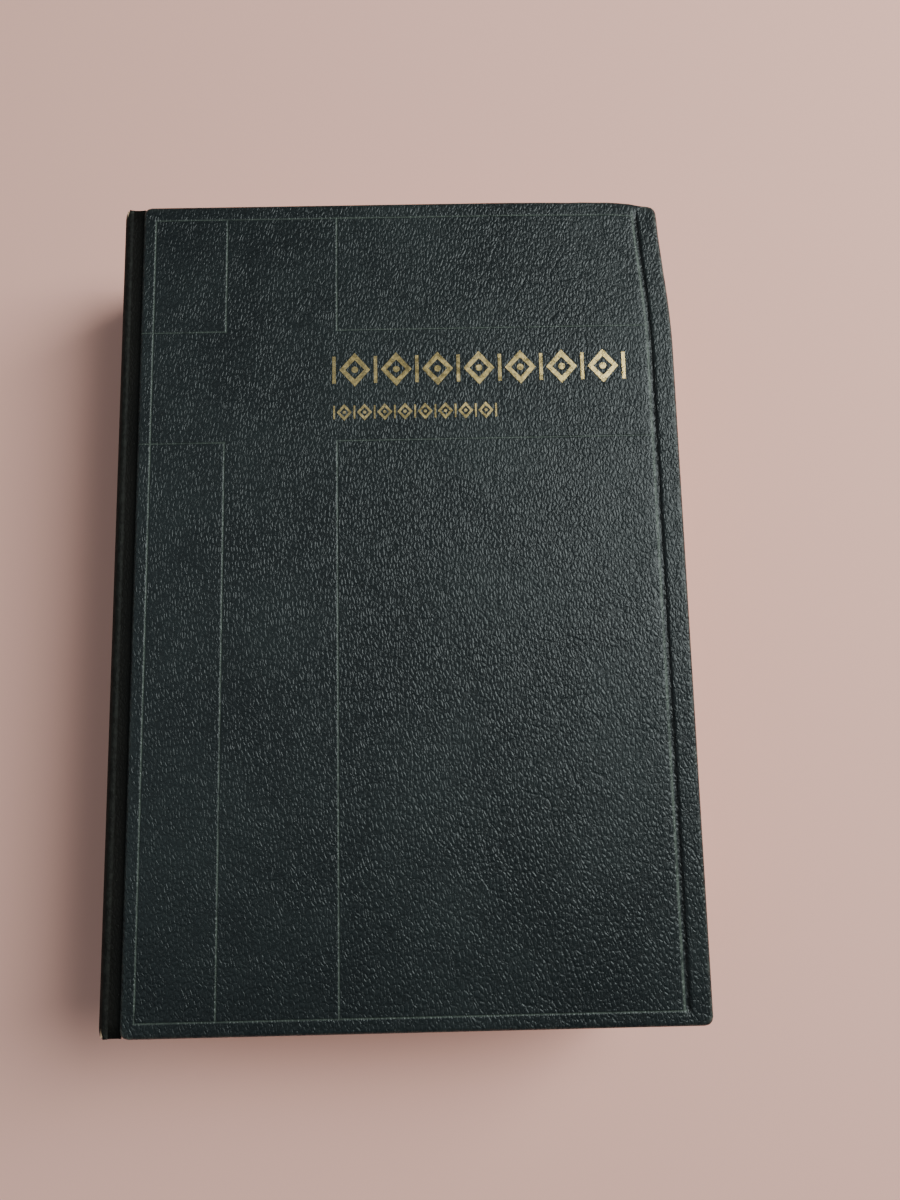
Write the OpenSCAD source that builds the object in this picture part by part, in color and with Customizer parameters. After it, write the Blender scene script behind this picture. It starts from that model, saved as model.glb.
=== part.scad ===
// A case-bound book of scripture, closed and lying on its back cover.
// +X runs to the fore-edge, +Y to the head, +Z up out of the front cover.
// The origin is under the middle of the closed book.

/* [Case] */
// Height of a covered board, from tail to head
cover_h = 216; // [190:1:260]
// Width of a covered board, from its spine edge to its fore-edge
cover_w = 143.4; // [125:0.2:175]
// Thickness of the closed book
book_t = 45; // [36:1:60]
// Thickness of the grey board in each cover
board_t = 2.4; // [1.6:0.1:3]
// Thickness of the grained covering material
cloth_t = 0.45; // [0.35:0.05:0.6]
// Radius of the covers' corners
corner_r = 2; // [1:0.25:5]
// Width of the covering that is turned in over a board's edges
turn_in = 15; // [10:1:20]
// Thickness of an endpaper, for the pastedowns and the flyleaves
endpaper_t = 0.15; // [0.1:0.05:0.25]
// Distance from a pastedown's edge to the cover's edge
pastedown_inset = 3.5; // [2:0.5:6]

/* [Spine] */
// Distance from the boards' spine edges to the outermost line of the spine
spine_out = 8.1; // [7:0.1:10]
// Clearance between the spine and a cover that lies open
spine_clear = 0.3; // [0.2:0.1:0.6]
// How far the spine bulges between its two shoulders
spine_bulge = 3; // [2:0.5:6]
// Step from the cover's face down to the spine's shoulder
shoulder_drop = 1; // [0.6:0.1:2]
// Thickness of the card inlay in the spine
inlay_t = 1.2; // [0.8:0.1:1.5]
// Width of the hollow between the lined text block and the inlay
hollow = 0.5; // [0.3:0.1:1]
// Thickness of the paper lining on the back of the text block
lining_t = 0.3; // [0.2:0.1:0.5]
// Thickness of the mull, the open cloth glued over the folds
mull_t = 0.3; // [0.2:0.1:0.5]
// How far the mull and the lining stop short of the head and the tail
lining_inset = 12; // [6:1:20]
// Diameter of the sewing thread
thread_d = 0.5; // [0.3:0.1:0.7]
// Number of sewing stations along the spine
stations = 6; // [4:1:8]
// Diameter of the rolled headbands
headband_d = 1.9; // [1.2:0.1:2.5]

/* [Text block] */
// How far the covers stand out beyond the pages on three sides
square = 3.5; // [2:0.5:5]
// Thickness of one loose leaf
leaf_t = 0.15; // [0.1:0.05:0.2]
// Air between neighbouring leaves
leaf_gap = 0.05; // [0.03:0.01:0.1]
// Air between a cover and the leaves under it
cover_gap = 0.1; // [0.05:0.05:0.3]
// Air between neighbouring gatherings
gathering_gap = 0.02; // [0.01:0.01:0.05]
// Distance from the block's spine edge to the line where the lowest leaf turns
gutter = 5.6; // [5.4:0.1:8]
// How far each leaf's turning line steps back from that of the leaf under it
leaf_step = 0.3; // [0.25:0.05:0.4]
// Air between the glued gutter edges and the first leaf that turns beside them
guard_gap = 0.3; // [0.2:0.05:0.5]

/* [Blind tooling] */
// Width of a tooled line
line_w = 0.5; // [0.3:0.1:0.8]
// Depth of a tooled line
line_d = 0.2; // [0.1:0.05:0.25]
// Width of the deep line along the fore-edge
fore_line_w = 1.4; // [1:0.1:2]
// Depth of the deep line along the fore-edge
fore_line_d = 0.5; // [0.3:0.1:0.7]
// Distance from the border to the spine edge
border_spine = 3.6; // [2:0.1:8]
// Distance from the border to the fore-edge
border_fore = 6.2; // [4:0.1:10]
// Distance from the border to the head
border_head = 4.2; // [2:0.1:8]
// Distance from the border to the tail
border_tail = 3.8; // [2:0.1:8]
// Distance from the border's spine line to the cross's upright
upright_x = 19.5; // [12:0.5:28]
// Width of the cross's upright
upright_w = 29.8; // [20:0.2:40]
// Distance from the border's tail line to the cross's arm
arm_y = 144.6; // [120:0.2:150]
// Height of the cross's arm
arm_w = 30.9; // [20:0.1:36]

/* [Foil] */
// Depth that the foil is pressed into the covering
foil_press = 0.12; // [0.08:0.01:0.2]
// Thickness of the foil
foil_t = 0.06; // [0.04:0.01:0.08]
// Length of the main foil ornament
band_len = 77.5; // [60:0.5:80]
// Height of the main foil ornament
band_h = 9.4; // [6:0.1:11]
// Length of the small foil ornament under it
small_len = 43; // [30:0.5:60]
// Height of the small foil ornament
small_h = 4.6; // [3:0.1:6]
// Number of lozenges in the main ornament
lozenges = 7; // [5:1:9]
// Number of lozenges in the small ornament
small_lozenges = 8; // [5:1:10]

/* [Hidden] */
$fn = 64;
GATHERINGS = 24;
FRONT_LEAVES = 5;
BACK_LEAVES = 3;
LONG = 500;
part_gap = 0.02;

cover_t = endpaper_t + cloth_t + board_t + cloth_t;
book_w = cover_w + spine_out;
spine_x = -book_w / 2;
board_x = spine_x + spine_out;
fore_x = book_w / 2;
mid_z = book_t / 2;

// The covers turn midway between the boards' spine edges and the spine.
hinge_x = spine_x + (spine_out - spine_clear) / 2;
hinge_z = book_t - cover_t / 2;
joint_r = board_x - hinge_x;

leaf_pitch = leaf_t + leaf_gap;
front_stack = (FRONT_LEAVES + 1) * leaf_pitch;
back_stack = (BACK_LEAVES + 1) * leaf_pitch;
block_z0 = cover_t + cover_gap + back_stack;
block_z1 = book_t - cover_t - cover_gap - front_stack;
gathering_pitch = (block_z1 - block_z0) / GATHERINGS;
page_h = cover_h - 2 * square;

// The spine is an arc about a line that runs along Y.
shoulder_z = book_t - shoulder_drop;
half_spine = mid_z - shoulder_drop;
spine_r = (half_spine * half_spine + spine_bulge * spine_bulge) / (2 * spine_bulge);
arc_x = spine_x + spine_r;
inlay_r = spine_r - cloth_t;
hem_r = inlay_r - inlay_t - cloth_t + part_gap;
lining_r = inlay_r - inlay_t - hollow;
mull_r = lining_r - lining_t;
thread_r = mull_r - mull_t - thread_d / 2;
fold_r = mull_r - mull_t - thread_d;
function arc_edge(r, z) = arc_x - sqrt(r * r - (z - mid_z) * (z - mid_z));

block_x = arc_edge(fold_r, block_z1);
page_w = fore_x - square - block_x;
leaf_x = block_x + gutter;
page_x = fore_x - square;

tool_x = board_x + border_spine;
tool_y = -cover_h / 2 + border_tail;
tool_w = cover_w - border_spine - border_fore;
tool_h = cover_h - border_head - border_tail;
arm_top = arm_y + arm_w;
upright_right = upright_x + upright_w;
band_x = tool_x + upright_right - 0.8;
band_y = tool_y + arm_y + arm_w / 2 + 4.1;
small_y = tool_y + arm_y + arm_w / 4;

// Each loose leaf turns about its own lower edge at the gutter.
function turn_x(place) = leaf_x - (place - 1) * leaf_step;
function pad2(i) = i < 10 ? str("0", i) : str(i);
function gathering_name(i) = str("gathering_", pad2(i));
function leaf_name(side, i) = str(side, "_leaf_", i);

// A rectangle with round corners, from its lower left corner.
module round_rect(w, h, r) {
    translate([r, 0]) square([w - 2 * r, h]);
    translate([0, r]) square([w, h - 2 * r]);
    for (x = [r, w - r], y = [r, h - r])
        translate([x, y]) circle(r);
}

// A plate on the front cover, set in from its four edges, between two heights.
module cover_plate(inset, z0, z1, r) {
    translate([board_x + inset, -cover_h / 2 + inset, z0])
        linear_extrude(z1 - z0)
            round_rect(cover_w - 2 * inset, cover_h - 2 * inset, r);
}

// What belongs to the front is mirrored for the back.
module on_back() {
    translate([0, 0, book_t]) mirror([0, 0, 1]) children();
}

// A profile in X and Z, drawn out along Y and centred on the middle.
module along_y(length) {
    translate([0, length / 2, 0]) rotate([90, 0, 0]) linear_extrude(length) children();
}

// The part of a ring about the spine's arc that lies between two heights.
module arc_profile(r_in, r_out, z0, z1) {
    intersection() {
        difference() {
            translate([arc_x, mid_z]) circle(r_out, $fn = 360);
            translate([arc_x, mid_z]) circle(r_in, $fn = 360);
        }
        translate([spine_x - 1, z0]) square([spine_out * 2, z1 - z0]);
    }
}

// A round strand that follows the spine's arc in the plane of one station.
module arc_strand(r, d, z0, z1) {
    half = asin((z1 - z0) / 2 / r);
    translate([arc_x, 0, mid_z])
        rotate([90, 0, 0])
            rotate([0, 0, 180 - half])
                rotate_extrude(angle = 2 * half)
                    translate([r, 0]) circle(d / 2, $fn = 24);
}

// One folded gathering, with its round fold at the spine.
module gathering(i) {
    z0 = block_z0 + (i - 1) * gathering_pitch;
    t = gathering_pitch - gathering_gap;
    x0 = arc_edge(fold_r, z0 + t / 2);
    color("ivory")
        along_y(page_h) {
            translate([x0 + t / 2, z0]) square([page_w - t / 2, t]);
            translate([x0 + t / 2, z0 + t / 2]) circle(t / 2, $fn = 24);
        }
}

module sewing_thread() {
    span = page_h - 2 * lining_inset - 20;
    color("linen")
        for (i = [0:stations - 1])
            translate([0, -span / 2 + i * span / (stations - 1), 0])
                arc_strand(thread_r - part_gap, thread_d - 2 * part_gap, block_z0 + 1, block_z1 - 1);
}

module mull() {
    color("whitesmoke")
        along_y(page_h - 2 * lining_inset)
            arc_profile(mull_r - mull_t + part_gap, mull_r - part_gap, block_z0, block_z1);
}

module spine_lining() {
    color("tan")
        along_y(page_h - 2 * lining_inset)
            arc_profile(mull_r, lining_r, block_z0, block_z1);
}

// Each headband sits on the ends of the gatherings, at their folds.
module end_band() {
    translate([0, page_h / 2 + headband_d / 2 + part_gap, 0])
        arc_strand(fold_r - headband_d / 2, headband_d, block_z0 + 1, block_z1 - 1);
}

module head_band() {
    color("whitesmoke") end_band();
}

module tail_band() {
    color("whitesmoke") mirror([0, 1, 0]) end_band();
}

module spine_inlay() {
    color("tan")
        along_y(cover_h - 2 * cloth_t)
            arc_profile(inlay_r - inlay_t, inlay_r, shoulder_drop + cloth_t, shoulder_z - cloth_t);
}

// The covering goes round the inlay on all four sides and is turned in behind it.
module spine_covering() {
    color("#1d2622")
        difference() {
            along_y(cover_h)
                arc_profile(hem_r, spine_r, shoulder_drop, shoulder_z);
            along_y(cover_h - 2 * cloth_t)
                arc_profile(inlay_r - inlay_t, inlay_r, shoulder_drop + cloth_t, shoulder_z - cloth_t);
            along_y(cover_h - 2 * turn_in)
                arc_profile(hem_r - 1, inlay_r - inlay_t, 0, book_t);
        }
}

// The strip of covering that bends in the groove between the spine and a board.
// It stays inside the circle about the hinge line that the board never enters.
module joint_cloth() {
    reach = joint_r - 0.15;
    left = arc_edge(hem_r, shoulder_z) + part_gap - hinge_x;
    color("#161d1a")
        translate([hinge_x, 0, hinge_z])
            along_y(cover_h)
                intersection() {
                    circle(reach);
                    polygon([
                        [left, 0],
                        [left + 1, -1],
                        [reach, -1],
                        [reach, -1 - cloth_t],
                        [left + 0.8, -1 - cloth_t],
                        [left, -cloth_t - 0.2]
                    ]);
                }
}

module front_joint_cloth() {
    joint_cloth();
}

module back_joint_cloth() {
    on_back() joint_cloth();
}

// The glued edges of a stack of loose leaves, in the gutter beside their turning lines.
module gutter_guard(leaves) {
    x0 = block_x + guard_gap;
    x1 = turn_x(leaves) - guard_gap;
    color("ivory")
        translate([x0, -page_h / 2, block_z1 + leaf_gap])
            cube([x1 - x0, page_h, (leaves - 1) * leaf_pitch - leaf_gap]);
}

module front_gutter_guard() {
    gutter_guard(FRONT_LEAVES + 1);
}

// The back stack's foot is at the block's lower face.
module back_gutter_guard() {
    translate([0, 0, block_z0 + block_z1]) mirror([0, 0, 1]) gutter_guard(BACK_LEAVES + 1);
}

// The board, without the channel that the deep line presses into it.
module plain_board() {
    cover_plate(cloth_t, endpaper_t + cloth_t, endpaper_t + cloth_t + board_t, max(corner_r - cloth_t, 0.3));
}

module fore_line(w, depth, z) {
    translate([tool_x + tool_w - w / 2, tool_y - w / 2, z - depth])
        cube([w, LONG, depth + 1]);
}

module board_solid(tooled) {
    difference() {
        plain_board();
        if (tooled)
            intersection() {
                fore_line(fore_line_w + 2 * cloth_t, fore_line_d, cover_t - cloth_t);
                plain_board();
            }
    }
}

// A tooled line with its lower left corner at x, y from the border's corner.
module tooled_line(x, y, w, h) {
    translate([tool_x + x - line_w / 2, tool_y + y - line_w / 2, cover_t - line_d])
        cube([w + line_w, h + line_w, line_d + 1]);
}

// The border and the four angles that outline a Latin cross.
module blind_tooling() {
    tooled_line(0, 0, tool_w, 0);
    tooled_line(0, tool_h, tool_w, 0);
    tooled_line(0, 0, 0, tool_h);
    for (x = [upright_x, upright_right]) {
        tooled_line(x, 0, 0, arm_y);
        tooled_line(x, arm_top, 0, tool_h - arm_top);
    }
    for (y = [arm_y, arm_top]) {
        tooled_line(-border_spine, y, border_spine + upright_x, 0);
        tooled_line(upright_right, y, tool_w - upright_right, 0);
    }
    fore_line(fore_line_w, fore_line_d, cover_t);
}

// A lozenge of a given width and height, about its own centre.
module lozenge(w, h) {
    polygon([[-w / 2, 0], [0, -h / 2], [w / 2, 0], [0, h / 2]]);
}

// A row of open lozenges with a dot in each, and a bar between neighbours.
module ornament_row(length, height, count) {
    step = length / count;
    stroke = height * 0.13;
    for (i = [0:count - 1])
        translate([(i + 0.5) * step, 0]) {
            difference() {
                lozenge(step - 3 * stroke, height);
                lozenge(step - 6.5 * stroke, height - 4.5 * stroke);
            }
            circle(stroke, $fn = 24);
        }
    for (i = [0:count])
        translate([i * step - stroke / 2, -height * 0.32]) square([stroke, height * 0.64]);
}

module foil_shape(z, t) {
    translate([band_x, band_y, z]) linear_extrude(t) ornament_row(band_len, band_h, lozenges);
    translate([band_x, small_y, z]) linear_extrude(t) ornament_row(small_len, small_h, small_lozenges);
}

// The covering's solid round a board, with turn-ins that leave a window inside.
module covering_solid(tooled) {
    window = cloth_t + turn_in;
    difference() {
        cover_plate(0, endpaper_t, cover_t, corner_r);
        board_solid(tooled);
        cover_plate(window, -1, endpaper_t + cloth_t + 0.01, 1);
    }
}

// The pastedown covers the turn-ins and steps down onto the bare board.
module pastedown_solid() {
    window = cloth_t + turn_in;
    difference() {
        union() {
            cover_plate(pastedown_inset, 0, endpaper_t - 0.01, 1);
            cover_plate(window + part_gap, 0, endpaper_t + cloth_t - part_gap, 1);
        }
        cover_plate(window + 2 * endpaper_t, -1, cloth_t - part_gap, 1);
    }
}

// A cover's pieces are drawn from its inner face up, then lifted to the front.
module on_front() {
    translate([0, 0, book_t - cover_t]) children();
}

module front_board() {
    color("darkgray") on_front() board_solid(true);
}

module front_covering() {
    color("#1f2b28")
        on_front()
            difference() {
                covering_solid(true);
                blind_tooling();
                foil_shape(cover_t - foil_press, foil_press + 1);
            }
}

module front_pastedown() {
    color("beige") on_front() pastedown_solid();
}

module cover_foil() {
    color("gold") on_front() foil_shape(cover_t - foil_press, foil_t);
}

module back_board() {
    color("darkgray") on_back() on_front() board_solid(false);
}

module back_covering() {
    color("#1f2b28") on_back() on_front() covering_solid(false);
}

module back_pastedown() {
    color("beige") on_back() on_front() pastedown_solid();
}

// A loose leaf at its place in a stack, counted from the text block outwards.
module loose_leaf(place, t) {
    translate([turn_x(place), -page_h / 2, block_z1 + leaf_gap + (place - 1) * leaf_pitch])
        cube([page_x - turn_x(place), page_h, t]);
}

module back_leaf_at(place, t) {
    translate([0, 0, block_z0 + block_z1]) mirror([0, 0, 1]) loose_leaf(place, t);
}

module front_flyleaf() {
    color("beige") loose_leaf(FRONT_LEAVES + 1, endpaper_t);
}

module front_leaf(i) {
    color("ivory") loose_leaf(i, leaf_t);
}

module back_flyleaf() {
    color("beige") back_leaf_at(BACK_LEAVES + 1, endpaper_t);
}

module back_leaf(i) {
    color("ivory") back_leaf_at(i, leaf_t);
}

for (i = [1:GATHERINGS])
    gathering(i);
sewing_thread();
mull();
spine_lining();
head_band();
tail_band();
spine_inlay();
spine_covering();
front_joint_cloth();
back_joint_cloth();
front_gutter_guard();
back_gutter_guard();
front_board();
front_covering();
front_pastedown();
cover_foil();
back_board();
back_covering();
back_pastedown();
front_flyleaf();
for (i = [1:FRONT_LEAVES])
    front_leaf(i);
back_flyleaf();
for (i = [1:BACK_LEAVES])
    back_leaf(i);
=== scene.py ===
import math

import bmesh
import bpy
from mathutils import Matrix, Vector, noise


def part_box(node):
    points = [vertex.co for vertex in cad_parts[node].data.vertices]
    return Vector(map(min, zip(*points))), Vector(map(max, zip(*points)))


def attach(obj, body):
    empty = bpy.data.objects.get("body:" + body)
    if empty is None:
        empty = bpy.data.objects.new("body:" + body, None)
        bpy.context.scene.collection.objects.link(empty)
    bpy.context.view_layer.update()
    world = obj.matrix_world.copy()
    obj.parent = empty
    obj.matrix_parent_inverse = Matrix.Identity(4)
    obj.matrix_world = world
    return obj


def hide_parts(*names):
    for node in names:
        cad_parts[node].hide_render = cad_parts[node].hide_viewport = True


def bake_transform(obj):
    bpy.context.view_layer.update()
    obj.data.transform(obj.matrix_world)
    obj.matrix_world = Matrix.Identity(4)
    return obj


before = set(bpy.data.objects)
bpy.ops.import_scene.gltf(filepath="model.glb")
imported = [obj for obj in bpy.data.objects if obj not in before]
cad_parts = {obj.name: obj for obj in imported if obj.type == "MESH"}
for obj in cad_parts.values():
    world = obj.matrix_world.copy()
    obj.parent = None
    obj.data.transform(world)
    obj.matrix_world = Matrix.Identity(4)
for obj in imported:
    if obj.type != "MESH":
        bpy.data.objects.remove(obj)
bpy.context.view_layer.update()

# ---------------------------------------------------------------- text block
# Twenty-four folded gatherings of thin Bible paper, each of many leaves with a
# round fold at the spine. The trimmed fore-edge is hollow, as the spine is round.
MM = 0.001
page_low, page_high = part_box("gathering_24")
first_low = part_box("gathering_01")[0]
front_low, front_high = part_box("front_covering")
back_low, back_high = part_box("back_covering")
spine_low, spine_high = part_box("spine_covering")
middle_z = (front_high.z + back_low.z) / 2

# The spine bulges this far between its shoulders, on one round arc.
SPINE_BULGE = 3.0 * MM
half_depth = (spine_high.z - spine_low.z) / 2
spine_radius = (half_depth**2 + SPINE_BULGE**2) / (2 * SPINE_BULGE)
arc_x = spine_low.x + spine_radius

GATHERINGS = 24
LEAVES_EACH = 24
gathering_pitch = (page_high.z - first_low.z) / GATHERINGS
fold_radius = arc_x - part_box("gathering_12")[0].x
page_width = page_high.x - page_low.x
page_height = page_high.y - page_low.y


def node_input(node, name, value, links=None):
    """Sets an input, or links it if the value is another node's output."""
    socket = node.inputs[name]
    if isinstance(value, bpy.types.NodeSocket):
        node.id_data.links.new(value, socket)
    else:
        socket.default_value = value
    return socket


def add(tree, kind, settings=(), inputs=()):
    """A node with its settings and its inputs, each by name or by place."""
    node = tree.nodes.new(kind)
    for name, value in dict(settings).items():
        setattr(node, name, value)
    for name, value in dict(inputs).items():
        node_input(node, name, value)
    return node


def maths(tree, operation, *values, clamp=False):
    """One step of arithmetic on sockets or numbers."""
    node = add(tree, "ShaderNodeMath", {"operation": operation, "use_clamp": clamp})
    for place, value in enumerate(values):
        node_input(node, place, value)
    return node.outputs[0]


def product(tree, first, second):
    """Two sockets or numbers multiplied."""
    return maths(tree, "MULTIPLY", first, second)


def total(tree, first, second):
    """Two sockets or numbers added."""
    return maths(tree, "ADD", first, second)


def minus(tree, first, second):
    """The first socket or number less the second."""
    return maths(tree, "SUBTRACT", first, second)


def band(tree, value, low, high, out_low=0.0, out_high=1.0):
    """A smooth ramp of a value between two limits."""
    node = add(
        tree,
        "ShaderNodeMapRange",
        {"interpolation_type": "SMOOTHSTEP"},
        {"Value": value, "From Min": low, "From Max": high, "To Min": out_low, "To Max": out_high},
    )
    return node.outputs["Result"]


def blend_colour(tree, factor, first, second, mode="MIX"):
    """A colour between two others."""
    node = add(tree, "ShaderNodeMix", {"data_type": "RGBA", "blend_type": mode, "clamp_factor": True})
    for socket, value in ((node.inputs[0], factor), (node.inputs[6], first), (node.inputs[7], second)):
        if isinstance(value, bpy.types.NodeSocket):
            tree.links.new(value, socket)
        else:
            socket.default_value = value
    return node.outputs[2]


def new_group(name, inputs, outputs):
    """An empty shader group with named sockets, and its two end nodes."""
    tree = bpy.data.node_groups.new(name, "ShaderNodeTree")
    for socket, kind, value in inputs:
        item = tree.interface.new_socket(name=socket, in_out="INPUT", socket_type=kind)
        if value is not None:
            item.default_value = value
    for socket, kind in outputs:
        tree.interface.new_socket(name=socket, in_out="OUTPUT", socket_type=kind)
    start = tree.nodes.new("NodeGroupInput")
    end = tree.nodes.new("NodeGroupOutput")
    return tree, start.outputs, end


def new_material(name, roughness, metallic=0.0, specular=0.5, **more):
    """A Principled material with its constant values set on the shader itself."""
    material = bpy.data.materials.new(name)
    material.use_nodes = True
    tree = material.node_tree
    shader = tree.nodes["Principled BSDF"]
    shader.inputs["Roughness"].default_value = roughness
    shader.inputs["Metallic"].default_value = metallic
    shader.inputs["Specular IOR Level"].default_value = specular
    for socket, value in more.items():
        shader.inputs[socket.replace("_", " ")].default_value = value
    return material, tree, shader


def place_group(tree, group, **values):
    """A shader group put into a material, with that material's own values."""
    node = tree.nodes.new("ShaderNodeGroup")
    node.node_tree = group
    for name, value in values.items():
        node_input(node, name.replace("_", " "), value)
    return node


def bump(tree, shader, height, strength, distance):
    """Feeds a height into the shader's normal."""
    node = add(
        tree, "ShaderNodeBump", {}, {"Height": height, "Strength": strength, "Distance": distance}
    )
    tree.links.new(node.outputs["Normal"], shader.inputs["Normal"])


def object_place(tree):
    """The point on the piece, in metres."""
    return tree.nodes.new("ShaderNodeTexCoord").outputs["Object"]


def noise_of(tree, place, scale, detail=3.0, roughness=0.5):
    """The value of a noise texture."""
    node = add(
        tree,
        "ShaderNodeTexNoise",
        {},
        {"Vector": place, "Scale": scale, "Detail": detail, "Roughness": roughness},
    )
    return node.outputs["Fac"]


def stretched(tree, place, scale=(1, 1, 1), turn=(0, 0, 0)):
    """A place turned and then drawn out, for a pattern with a direction."""
    node = add(
        tree, "ShaderNodeMapping", {}, {"Vector": place, "Scale": scale, "Rotation": turn}
    )
    return node.outputs["Vector"]


PAPER = (0.80, 0.74, 0.60, 1)
PAPER_AGED = (0.63, 0.53, 0.38, 1)

paper_fibre, given, result = new_group(
    "paper_fibre",
    [
        ("Place", "NodeSocketVector", None),
        ("Paper", "NodeSocketColor", PAPER),
        ("Aged", "NodeSocketColor", PAPER_AGED),
        ("Streaks", "NodeSocketFloat", 1.0),
    ],
    [("Color", "NodeSocketColor"), ("Height", "NodeSocketFloat")],
)
edge_place = stretched(paper_fibre, given["Place"], scale=(0.12, 0.12, 1.0))
edge_lines = noise_of(paper_fibre, edge_place, 9000, 4, 0.7)
edge_bands = noise_of(paper_fibre, edge_place, 900, 3, 0.6)
fibres = noise_of(paper_fibre, given["Place"], 700, 6, 0.6)
stains = noise_of(paper_fibre, given["Place"], 38, 4, 0.55)
leaf_streaks = band(paper_fibre, edge_lines, 0.35, 0.7)
band_streaks = band(paper_fibre, edge_bands, 0.4, 0.68)
streak = product(paper_fibre, total(paper_fibre, leaf_streaks, band_streaks), given["Streaks"])
stained = product(paper_fibre, band(paper_fibre, stains, 0.42, 0.75), 0.35)
tone = maths(paper_fibre, "ADD", product(paper_fibre, streak, 0.36), stained, clamp=True)
paper_colour = blend_colour(paper_fibre, tone, given["Paper"], given["Aged"])
paper_height = total(paper_fibre, product(paper_fibre, streak, 0.6), product(paper_fibre, fibres, 0.4))
paper_fibre.links.new(paper_colour, result.inputs["Color"])
paper_fibre.links.new(paper_height, result.inputs["Height"])


def paper_material(name, paper, aged, streaks, roughness=0.82):
    """Plain paper of one tone."""
    material, tree, shader = new_material(name, roughness, specular=0.25)
    fibre = place_group(
        tree, paper_fibre, Place=object_place(tree), Paper=paper, Aged=aged, Streaks=streaks
    )
    tree.links.new(fibre.outputs["Color"], shader.inputs["Base Color"])
    bump(tree, shader, fibre.outputs["Height"], 0.35, 0.05 * MM)
    return material


page_edge_paper = paper_material("page_edge_paper", PAPER, PAPER_AGED, 1.0)


def input_id(tree, name):
    """The identifier of a tree's named input."""
    for item in tree.interface.items_tree:
        if item.item_type == "SOCKET" and item.in_out == "INPUT" and item.name == name:
            return item.identifier
    raise KeyError(name)


def geometry_tree(name, inputs):
    """An empty Geometry Nodes tree with named inputs and a Geometry output."""
    tree = bpy.data.node_groups.new(name, "GeometryNodeTree")
    tree.interface.new_socket(name="Geometry", in_out="INPUT", socket_type="NodeSocketGeometry")
    for socket, kind in inputs:
        tree.interface.new_socket(name=socket, in_out="INPUT", socket_type=kind)
    tree.interface.new_socket(name="Geometry", in_out="OUTPUT", socket_type="NodeSocketGeometry")
    start = tree.nodes.new("NodeGroupInput")
    end = tree.nodes.new("NodeGroupOutput")
    return tree, start.outputs, end


def made_by(name, tree, **values):
    """Runs a Geometry Nodes tree and keeps its result as a plain mesh object."""
    seed_mesh = bpy.data.meshes.new(name + "_seed")
    host = bpy.data.objects.new(name + "_host", seed_mesh)
    bpy.context.scene.collection.objects.link(host)
    modifier = host.modifiers.new("made", "NODES")
    modifier.node_group = tree
    for key, value in values.items():
        modifier[input_id(tree, key.replace("_", " "))] = value
    host.update_tag()
    bpy.context.view_layer.update()
    graph = bpy.context.evaluated_depsgraph_get()
    mesh = bpy.data.meshes.new_from_object(host.evaluated_get(graph))
    host.modifiers.remove(modifier)
    bpy.data.objects.remove(host)
    mesh.name = name
    obj = bpy.data.objects.new(name, mesh)
    bpy.context.scene.collection.objects.link(obj)
    return obj


def realized(tree, end, geometry, material):
    """The tree's last steps: real meshes, with their material."""
    real = add(tree, "GeometryNodeRealizeInstances", {}, {"Geometry": geometry}).outputs[0]
    done = add(tree, "GeometryNodeSetMaterial", {}, {"Geometry": real, "Material": material})
    tree.links.new(done.outputs[0], end.inputs["Geometry"])


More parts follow.
